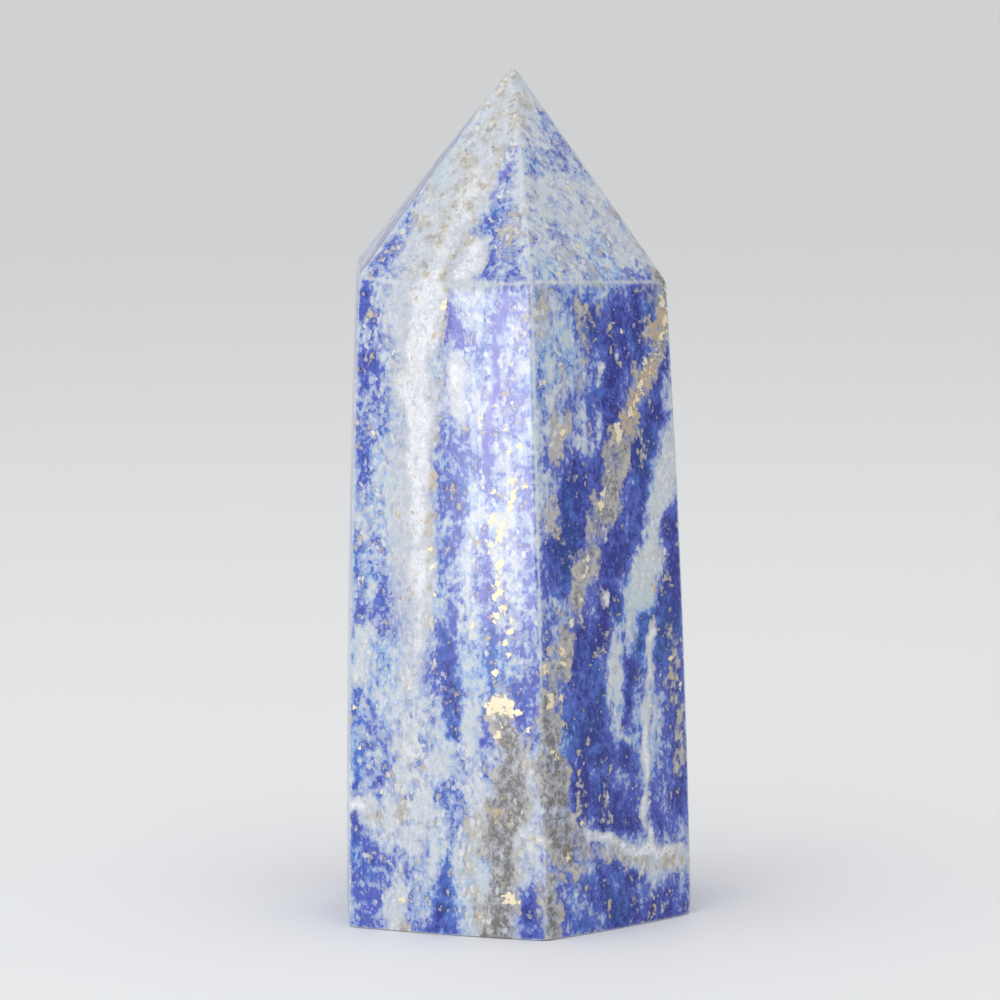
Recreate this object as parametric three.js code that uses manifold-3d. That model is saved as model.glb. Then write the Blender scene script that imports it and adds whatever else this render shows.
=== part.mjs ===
// A lapis lazuli tower: one piece of stone, ground to six sides and a six-sided point, then polished.
// Millimetres, +Z up. It stands on its flat base with the origin under the middle of its outline,
// and its broad front side faces -Y.
import * as THREE from "three";
import { mergeVertices, toCreasedNormals } from "three/addons/utils/BufferGeometryUtils.js";
import Module from "manifold-3d";

// Driving dimensions. Azimuths are in degrees, from -Y round towards +X.
const height = 90; // base to worn tip
const shoulder = 68; // about where the sides give way to the point
const tip = new THREE.Vector3(0.6, 0.4, 90.25); // where the point would end if it had not worn
const swell = 0.35; // how far a side bulges halfway up, as hand polishing leaves it
const halfSide = 10.4; // half a side's width, over which its crown falls to nothing

// The six sides in order. reach: from the axis to the side's long edges at the base. lean: how far
// it leans in per mm of height. crown: how far its middle stands proud of its two long edges.
// cornerHeight: of the shoulder at the side's left edge. sag: how far the shoulder dips midway.
const sides = [
  { azimuth: -66.6, reach: 18.15, lean: 0.03, crown: 0.08, cornerHeight: 69.4, sag: 0.05 },
  { azimuth: 0, reach: 17.7, lean: 0.0242, crown: 0.46, cornerHeight: 68.5, sag: 0.55 },
  { azimuth: 60.1, reach: 17.55, lean: 0.0303, crown: 0.46, cornerHeight: 68.1, sag: 0.05 },
  { azimuth: 118.3, reach: 17.5, lean: 0.0313, crown: 0.4, cornerHeight: 67.4, sag: 0.3 },
  { azimuth: 177, reach: 17.4, lean: 0.0292, crown: 0.44, cornerHeight: 68.6, sag: 0.45 },
  { azimuth: 235.9, reach: 17.2, lean: 0.03, crown: 0.4, cornerHeight: 69.4, sag: 0.35 },
];

// Small shell-shaped chips knocked out of edges. at: a point on the edge. radius: of the hollow.
// depth: how far it bites in.
const chips = [
  { at: [-10.6, -16.1, 68.4], radius: 2.2, depth: 0.3 },
  { at: [16.4, -0.35, 69.3], radius: 0.8, depth: 0.12 },
  { at: [4.05, 0.25, 85.7], radius: 0.9, depth: 0.12 },
  { at: [20.1, -0.4, 0.2], radius: 1.3, depth: 0.25 },
  { at: [-7.6, 15.9, 69.4], radius: 1.6, depth: 0.4 },
  { at: [-8.7, 18, 0.3], radius: 1.8, depth: 0.45 },
  { at: [10.3, 16.2, 33], radius: 1.5, depth: 0.25 },
];

// Facets of the faceted solid: columns across each side, rows up the sides and up the point.
const grid = { columns: 10, sideRows: 12, pointRows: 5 };
const cornerRounds = 8; // of closing in on a corner, which settles within a thousandth of a mm
const crispEdge = 12; // degrees between two facets, from which their meeting is a hard edge

for (const side of sides) {
  const angle = THREE.MathUtils.degToRad(side.azimuth);
  side.outward = new THREE.Vector2(Math.sin(angle), -Math.cos(angle));
  side.across = new THREE.Vector2(Math.cos(angle), Math.sin(angle));
}

const sideAt = (index) => sides[(index + sides.length) % sides.length];

// How far a side's face is from the axis, `u` mm across from its middle and `z` mm up.
function wall({ reach, lean, crown }, u, z) {
  const rise = z / shoulder;
  return reach - lean * z + crown * (1 - (u / halfSide) ** 2) + swell * 4 * rise * (1 - rise);
}

// Where a side's left edge is at height z. The two faces that meet there are curved a little, so
// a few rounds of crossing them as straight lines settle on the corner.
function leftCorner(index, z) {
  const [before, after] = [sideAt(index - 1), sideAt(index)];
  const cross = before.outward.cross(after.outward);
  const corner = new THREE.Vector2();
  for (let round = 0; round < cornerRounds; round++) {
    const a = wall(before, corner.dot(before.across), z);
    const b = wall(after, corner.dot(after.across), z);
    corner.set(
      (a * after.outward.y - b * before.outward.y) / cross,
      (b * before.outward.x - a * after.outward.x) / cross,
    );
  }
  return corner;
}

// A point of a side's face: `share` of the way from its left edge to its right edge, at height z.
function sidePoint(index, share, z) {
  const side = sideAt(index);
  const left = leftCorner(index, z).dot(side.across);
  const right = leftCorner(index + 1, z).dot(side.across);
  const u = THREE.MathUtils.lerp(left, right, share);
  const flat = side.outward.clone().multiplyScalar(wall(side, u, z)).addScaledVector(side.across, u);
  return new THREE.Vector3(flat.x, flat.y, z);
}

// The height of the shoulder over a side, from one corner to the next with a dip between them.
function shoulderHeight(index, share) {
  const [left, right] = [sideAt(index).cornerHeight, sideAt(index + 1).cornerHeight];
  return THREE.MathUtils.lerp(left, right, share) - sideAt(index).sag * 4 * share * (1 - share);
}

// One upright line of the stone's surface, from the base over the shoulder to the worn tip.
function column(index, share) {
  const turn = shoulderHeight(index, share);
  const points = [];
  for (let row = 0; row < grid.sideRows; row++)
    points.push(sidePoint(index, share, (turn * row) / grid.sideRows));
  const start = sidePoint(index, share, turn);
  const worn = (height - turn) / (tip.z - turn);
  for (let row = 0; row <= grid.pointRows; row++)
    points.push(start.clone().lerp(tip, (worn * row) / grid.pointRows));
  return points;
}

// The whole surface as a closed mesh: upright columns all the way round, a flat base, a worn tip.
function groundStone() {
  const columns = [];
  for (let index = 0; index < sides.length; index++)
    for (let step = 0; step < grid.columns; step++) columns.push(column(index, step / grid.columns));
  const rows = columns[0].length;
  const points = columns.flat();
  const under = points.push(new THREE.Vector3(0, 0, 0)) - 1;
  const over = points.push(new THREE.Vector3(tip.x, tip.y, height)) - 1;
  const faces = [];
  columns.forEach((_, c) => {
    const here = c * rows;
    const next = ((c + 1) % columns.length) * rows;
    for (let row = 0; row < rows - 1; row++) {
      faces.push(here + row, next + row, next + row + 1);
      faces.push(here + row, next + row + 1, here + row + 1);
    }
    faces.push(under, next, here, over, here + rows - 1, next + rows - 1);
  });
  return new THREE.BufferGeometry().setFromPoints(points).setIndex(faces);
}

// The ball whose near side leaves a chip's hollow in the stone.
function chipBall({ at, radius, depth }) {
  const edge = new THREE.Vector3(...at);
  const outward = edge.clone().setZ(edge.z - height / 2).normalize();
  const centre = edge.addScaledVector(outward, radius - depth);
  return new THREE.IcosahedronGeometry(radius, 1).translate(centre.x, centre.y, centre.z);
}

const wasm = await Module();
wasm.setup();

// A closed geometry as a manifold solid.
function solidOf(geometry) {
  geometry.deleteAttribute("normal");
  geometry.deleteAttribute("uv");
  const merged = mergeVertices(geometry, 1e-4);
  const vertProperties = merged.getAttribute("position").array;
  const triVerts = new Uint32Array(merged.index.array);
  return new wasm.Manifold(new wasm.Mesh({ numProp: 3, vertProperties, triVerts }));
}

// The chipped stone as a geometry, centred over the origin, with crisp edges between its faces.
function stoneGeometry() {
  let stone = solidOf(groundStone());
  for (const chip of chips) stone = stone.subtract(solidOf(chipBall(chip)));
  const { vertProperties, triVerts } = stone.getMesh();
  const geometry = new THREE.BufferGeometry();
  geometry.setAttribute("position", new THREE.BufferAttribute(vertProperties, 3));
  geometry.setIndex(new THREE.BufferAttribute(triVerts, 1));
  geometry.computeBoundingBox();
  const middle = geometry.boundingBox.getCenter(new THREE.Vector3());
  geometry.translate(-middle.x, -middle.y, 0);
  return toCreasedNormals(geometry, THREE.MathUtils.degToRad(crispEdge));
}

const lapis = new THREE.MeshStandardMaterial({ color: 0x4a62b4, roughness: 0.22, metalness: 0 });
const tower = new THREE.Mesh(stoneGeometry(), lapis);
tower.name = "lapis_tower";

const group = new THREE.Group();
group.add(tower);

export default group;
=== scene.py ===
"""A polished lapis lazuli tower: its worn, crowned stone surface, its minerals, and a pale studio.

The stone is ground to six sides and a six-sided point. Its minerals are drawn as bodies that run
through the rock, so a vein that reaches an edge goes on round it.
"""
import math
from collections import namedtuple

import bpy
import numpy as np
from bpy.props import FloatProperty, FloatVectorProperty, PointerProperty
from bpy.types import Operator, Panel, PropertyGroup
from mathutils import Matrix, Vector, noise


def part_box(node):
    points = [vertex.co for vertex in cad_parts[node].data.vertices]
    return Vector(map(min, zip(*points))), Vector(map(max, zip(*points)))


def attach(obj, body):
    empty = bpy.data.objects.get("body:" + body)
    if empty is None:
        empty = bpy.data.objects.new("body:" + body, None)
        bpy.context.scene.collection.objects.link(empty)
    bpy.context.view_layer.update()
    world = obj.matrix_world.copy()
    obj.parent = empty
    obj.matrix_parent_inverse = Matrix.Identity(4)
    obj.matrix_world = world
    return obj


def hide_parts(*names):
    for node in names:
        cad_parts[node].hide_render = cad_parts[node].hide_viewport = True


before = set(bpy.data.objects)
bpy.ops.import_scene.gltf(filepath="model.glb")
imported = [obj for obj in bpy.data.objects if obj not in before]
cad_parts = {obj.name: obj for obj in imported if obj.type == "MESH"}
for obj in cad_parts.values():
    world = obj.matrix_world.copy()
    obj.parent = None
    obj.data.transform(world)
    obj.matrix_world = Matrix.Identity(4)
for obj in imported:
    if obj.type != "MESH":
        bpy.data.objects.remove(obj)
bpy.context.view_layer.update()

bl_info = {
    "name": "Lapis Lazuli Tower",
    "version": (1, 0, 0),
    "blender": (4, 5, 0),
    "location": "3D View > Sidebar > Lapis",
    "description": "A polished lapis lazuli tower on a pale studio floor",
    "category": "Object",
}

MM = 0.001
CAD_NODE = "lapis_tower"
CAD_LOW, CAD_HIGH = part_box(CAD_NODE)
FRAME_WIDTH = 36  # mm, of the camera's picture


def linear(hex_colour):
    """An sRGB hex colour as linear red, green and blue."""
    shares = [int(hex_colour[i : i + 2], 16) / 255 for i in (1, 3, 5)]
    return tuple(s / 12.92 if s <= 0.04045 else ((s + 0.055) / 1.055) ** 2.4 for s in shares)


def colour_property(name, description, hex_colour):
    """A colour that the user can change."""
    return FloatVectorProperty(
        name=name, description=description, subtype="COLOR", size=3, min=0, max=1,
        default=linear(hex_colour),
    )


def length_property(name, description, millimetres):
    """A length that the user can change, given in millimetres and kept in metres."""
    return FloatProperty(
        name=name, description=description, unit="LENGTH", precision=5, min=0,
        default=millimetres * MM,
    )


def angle_property(name, description, degrees):
    """An angle that the user can change, given in degrees."""
    return FloatProperty(
        name=name, description=description, subtype="ANGLE", default=math.radians(degrees)
    )


class StoneSizes(PropertyGroup):
    """The size of the stone and of its grain."""

    height: length_property("Height", "From the base to the worn tip", (CAD_HIGH.z - CAD_LOW.z) / MM)
    edge_wear: length_property("Edge wear", "How far polishing has worn each edge back", 0.09)
    waviness: length_property("Waviness", "How far hand polishing leaves a face from true", 0.012)
    wave_length: length_property("Wave length", "From one such wave to the next", 7)
    across_step: length_property("Step across", "Between the surface's points, across a side", 0.32)
    up_step: length_property("Step up", "Between the surface's points, up the stone", 0.6)
    grain_width: length_property("Grain width", "Of one grain of the rock, across the stone", 0.36)
    grain_height: length_property("Grain height", "Of one grain of the rock, up the stone", 0.55)


class StoneColours(PropertyGroup):
    """The colours of the minerals in the stone."""

    deep_blue: colour_property("Deep blue", "Dense lazurite", "#232b86")
    royal_blue: colour_property("Royal blue", "Lazurite in most of the stone", "#5061bc")
    sky_blue: colour_property("Sky blue", "Lazurite thinly spread through calcite", "#9dabcf")
    pale_grey: colour_property("Pale grey", "Calcite clouded with a little lazurite", "#c8ced6")
    deep_azure: colour_property("Deep azure", "Dense lazurite of a greener blue", "#203d8a")
    azure: colour_property("Azure", "Lazurite of a greener blue", "#466cbf")
    sky_azure: colour_property("Sky azure", "Thinly spread lazurite of a greener blue", "#94aed9")
    pale_green: colour_property("Pale green grey", "Cloudy diopside", "#bfcbd3")
    calcite: colour_property("Calcite", "The white veins", "#e2e4ea")
    calcite_shade: colour_property("Shaded calcite", "The greyer parts of the white veins", "#c5c9d1")
    cream: colour_property("Cream", "Single grains of calcite", "#dcdbd6")
    matrix_light: colour_property("Light matrix", "Cream-grey diopside", "#bbb8b0")
    matrix_grey: colour_property("Grey matrix", "Grey diopside", "#9a9ca1")
    matrix_dark: colour_property("Dark matrix", "Grey-brown diopside and fine pyrite", "#726f6a")
    violet: colour_property("Violet", "The purple tinge beside some veins", "#7269c6")
    pyrite: colour_property("Pyrite", "Brassy flecks", "#ece0c2")
    rust: colour_property("Rust", "Weathered pyrite", "#b9a68a")


class StageSettings(PropertyGroup):
    """The floor, the light and the camera."""

    floor: colour_property("Floor", "The pale floor", "#f6f6f6")
    room: colour_property("Room", "The room's walls", "#ecedee")
    room_light: FloatProperty(
        name="Room light", description="How brightly the walls shine", default=0.82, min=0
    )
    side_light: FloatProperty(
        name="Side light", description="Watts of the wide soft light on the left", default=0.5, min=0
    )
    window_light: FloatProperty(
        name="Window light", description="Watts of the low soft light at the front", default=0.34, min=0
    )
    overhead_light: FloatProperty(
        name="Overhead light", description="Watts of the wide soft light above", default=1.8, min=0
    )
    lens: FloatProperty(
        name="Lens", description=f"In mm, on a frame {FRAME_WIDTH} mm wide", default=144, min=1
    )
    distance: length_property("Camera distance", "From the point it looks at", 428.85)
    azimuth: angle_property("Camera azimuth", "From the front towards +X", 20.83)
    elevation: angle_property("Camera elevation", "Above the horizon", 6.095)
    roll: angle_property("Camera roll", "How far the camera leans to its right", 0.672)


# ---------------------------------------------------------------- the ground shape, in mm

HEIGHT = 90.0
SHOULDER = 68.0  # about where the sides give way to the point
TIP = np.array([0.6, 0.4, 90.25])  # where the point would end if it had not worn
SWELL = 0.35  # how far a side bulges halfway up
HALF_SIDE = 10.4  # half a side's width, over which its crown falls to nothing
CORNER_ROUNDS = 8  # of closing in on the corner of two curved faces
WEAR_ROUNDS = 4  # of closing in on the worn surface
SLOPE_STEP = 1e-3  # over which the worn surface's slope is measured
NARROWEST = 1e-3  # share of its width below which a facet of the point isn't taken to narrow
LEVEL = (1, 1, 0)  # times a point, brings it down to the base

# azimuth: of the side, in degrees from -Y towards +X. reach: from the axis to its long edges at
# the base. lean: how far it leans in per mm of height. crown: how far its middle stands proud.
# corner_height: of the shoulder at its left edge. sag: how far the shoulder dips midway.
Side = namedtuple("Side", "azimuth reach lean crown corner_height sag")
SIDES = (
    Side(-66.6, 18.15, 0.03, 0.08, 69.4, 0.05),
    Side(0, 17.7, 0.0242, 0.46, 68.5, 0.55),
    Side(60.1, 17.55, 0.0303, 0.46, 68.1, 0.05),
    Side(118.3, 17.5, 0.0313, 0.4, 67.4, 0.3),
    Side(177, 17.4, 0.0292, 0.44, 68.6, 0.45),
    Side(235.9, 17.2, 0.03, 0.4, 69.4, 0.35),
)
LEFT, FRONT, RIGHT, BACK_RIGHT, BACK, BACK_LEFT = range(len(SIDES))

# Small shell-shaped chips: a point on the edge, the hollow's radius, and how deep it bites.
CHIPS = (
    ((-10.6, -16.1, 68.4), 2.2, 0.3),
    ((16.4, -0.35, 69.3), 0.8, 0.12),
    ((4.05, 0.25, 85.7), 0.9, 0.12),
    ((20.1, -0.4, 0.2), 1.3, 0.25),
    ((-7.6, 15.9, 69.4), 1.6, 0.4),
    ((-8.7, 18.0, 0.3), 1.8, 0.45),
    ((10.3, 16.2, 33.0), 1.5, 0.25),
)

# Distances from an edge at which the surface has points, so that its rounding is smooth.
NEAR_EDGE = (0.0, 0.07, 0.16, 0.28, 0.45)
BASE_RINGS = 9  # of points between the base's rim and its middle


def outward(side):
    """The level direction that a side faces."""
    angle = math.radians(side.azimuth)
    return np.array([math.sin(angle), -math.cos(angle)])


def across(side):
    """The level direction along a side, towards its right edge."""
    angle = math.radians(side.azimuth)
    return np.array([math.cos(angle), math.sin(angle)])


def side_at(index):
    """A side by its number, counted on round the stone."""
    return SIDES[index % len(SIDES)]


def arch(height, share):
    """An even curve over a length: nothing at both its ends, and the height at its middle."""
    return height * 4 * share * (1 - share)


def wall(side, u, z):
    """How far a side's face is from the axis, u across from its middle and z up."""
    crown = side.crown * (1 - (u / HALF_SIDE) ** 2)
    return side.reach - side.lean * z + crown + arch(SWELL, z / SHOULDER)


def left_corner(index, z):
    """Where a side's left edge is at each height."""
    before, after = side_at(index - 1), side_at(index)
    a_out, b_out = outward(before), outward(after)
    cross = a_out[0] * b_out[1] - a_out[1] * b_out[0]
    corner = np.zeros((len(z), 2))
    for _ in range(CORNER_ROUNDS):
        a = wall(before, corner @ across(before), z)
        b = wall(after, corner @ across(after), z)
        corner[:, 0] = (a * b_out[1] - b * a_out[1]) / cross
        corner[:, 1] = (b * a_out[0] - a * b_out[0]) / cross
    return corner


def side_points(index, share, z):
    """Points of a side, share of the way from its left edge to its right edge, at heights z."""
    side = side_at(index)
    left = left_corner(index, z) @ across(side)
    right = left_corner(index + 1, z) @ across(side)
    u = left + (right - left) * share
    level = np.outer(wall(side, u, z), outward(side)) + np.outer(u, across(side))
    return np.column_stack([level, z])


def shoulder_height(index, share):
    """The height of the shoulder over a side, from one corner to the next."""
    left, right = side_at(index).corner_height, side_at(index + 1).corner_height
    return left + (right - left) * share - arch(side_at(index).sag, share)


def shoulder_point(index, share):
    """A point of the shoulder over a side."""
    return side_points(index, share, np.array([shoulder_height(index, share)]))[0]


def sharp_point(index, share, z):
    """One point of the sharp stone, on a side or on the facet above it."""
    turn = shoulder_height(index, share)
    if z <= turn:
        return side_points(index, share, np.array([z]))[0]
    start = shoulder_point(index, share)
    return start + (TIP - start) * (z - turn) / (TIP[2] - turn)


def place(index, u, z):
    """The point u mm across from the middle of a side, or of the facet above it, and z mm up."""
    along = across(side_at(index))
    middle = along @ TIP[:2] if z > SHOULDER else 0.0
    left, right = (sharp_point(index, share, z)[:2] @ along for share in (0.0, 1.0))
    share = (u + middle - left) / (right - left)
    return sharp_point(index, min(max(share, 0.0), 1.0), z)


def side_face(side):
    """How far points stand out of a side's face."""
    upright = math.cos(math.atan(side.lean))

    def stand_out(p):
        return (p[:, :2] @ outward(side) - wall(side, p[:, :2] @ across(side), p[:, 2])) * upright

    return stand_out


def point_facet(index):
    """How far points stand out of the facet of the point above a side."""
    left, middle, right = (shoulder_point(index, share) for share in (0.0, 0.5, 1.0))
    normal = np.cross(right - left, TIP - left)
    normal /= np.linalg.norm(normal)
    centre = (left + right) / 2
    half = np.linalg.norm(right - left) / 2
    along = (right - left) / (2 * half)
    bulge = (middle - centre) @ normal

    def stand_out(p):
        down = np.maximum((TIP[2] - p[:, 2]) / (TIP[2] - centre[2]), NARROWEST)
        u = ((p - TIP) @ along - down * ((centre - TIP) @ along)) / (half * down)
        return (p - TIP) @ normal - bulge * down * (1 - np.minimum(u**2, 1))

    return stand_out


def chip_hollow(at, radius, depth):
    """How far points are inside the ball whose near side leaves a chip's hollow."""
    edge = np.array(at)
    away = edge - np.array([0, 0, HEIGHT / 2])
    centre = edge + away / np.linalg.norm(away) * (radius - depth)
    return lambda p: radius - np.linalg.norm(p - centre, axis=1)


def soft_largest(values, sharpness):
    """The largest of several values, rounded off where two of them are close."""
    largest = values.max(axis=0)
    return largest + np.log(np.exp((values - largest) * sharpness).sum(axis=0)) / sharpness


def wear_down(points, edge_wear):
    """Moves the sharp stone's points on to the worn one: soft edges, a worn tip and chips."""
    faces = [side_face(side) for side in SIDES]
    faces += [point_facet(index) for index in range(len(SIDES))]
    faces += [chip_hollow(*chip) for chip in CHIPS]
    faces += [lambda p: p[:, 2] - HEIGHT, lambda p: -p[:, 2]]
    sharpness = math.log(2) / edge_wear

    def stand_out(p):
        return soft_largest(np.array([face(p) for face in faces]), sharpness)

    for _ in range(WEAR_ROUNDS):
        over = stand_out(points)
        rises = [stand_out(points + SLOPE_STEP * axis) - over for axis in np.eye(3)]
        slope = np.column_stack(rises) / SLOPE_STEP
        points = points - slope * (over / (slope**2).sum(axis=1))[:, None]
    return points


def spread(length, step):
    """Shares of a length, from 0 to 1, crowded near both its ends."""
    near = np.array(NEAR_EDGE)
    count = round((length - 2 * near[-1]) / step) + 1
    between = np.linspace(near[-1], length - near[-1], count)
    return np.concatenate([near[:-1], between, length - near[-2::-1]]) / length


def sharp_surface(across_step, up_step):
    """The sharp stone's surface as upright columns of points."""
    shares = spread(2 * HALF_SIDE, across_step)[:-1]
    up_side = spread(SHOULDER, up_step)[:-1]
    slant = np.linalg.norm(TIP - shoulder_point(FRONT, 0.5))
    up_point = spread(slant, up_step)
    columns = []
    for index in range(len(SIDES)):
        for share in shares:
            turn = shoulder_height(index, share)
            start = shoulder_point(index, share)
            worn = (HEIGHT - turn) / (TIP[2] - turn)
            foot = side_points(index, share, turn * up_side)
            columns.append(np.vstack([foot, start + np.outer(up_point * worn, TIP - start)]))
    return np.array(columns)


def worn_surface(sizes):
    """The worn surface as columns of points, the middle of its outline, and where wear bruised it, which is
    also where edges get a painted highlight.
    """
    sharp = sharp_surface(sizes.across_step / MM, sizes.up_step / MM)
    middle = (sharp.min(axis=(0, 1)) + sharp.max(axis=(0, 1))) / 2
    worn = wear_down(sharp.reshape(-1, 3), sizes.edge_wear / MM)
    wear_and_highlight = np.linalg.norm(worn - sharp.reshape(-1, 3), axis=1) / (sizes.edge_wear / MM)
    away = worn[:, :2] / np.linalg.norm(worn[:, :2], axis=1)[:, None]
    waves = np.array([noise.noise(Vector(p) / (sizes.wave_length / MM)) for p in worn])
    worn[:, :2] += away * (waves * sizes.waviness / MM)[:, None]
    worn[:, 2] = np.maximum(worn[:, 2], 0.0)
    return worn.reshape(sharp.shape), middle * LEVEL, np.clip(wear_and_highlight, 0, 1)


# ---------------------------------------------------------------- the minerals, in mm

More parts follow.
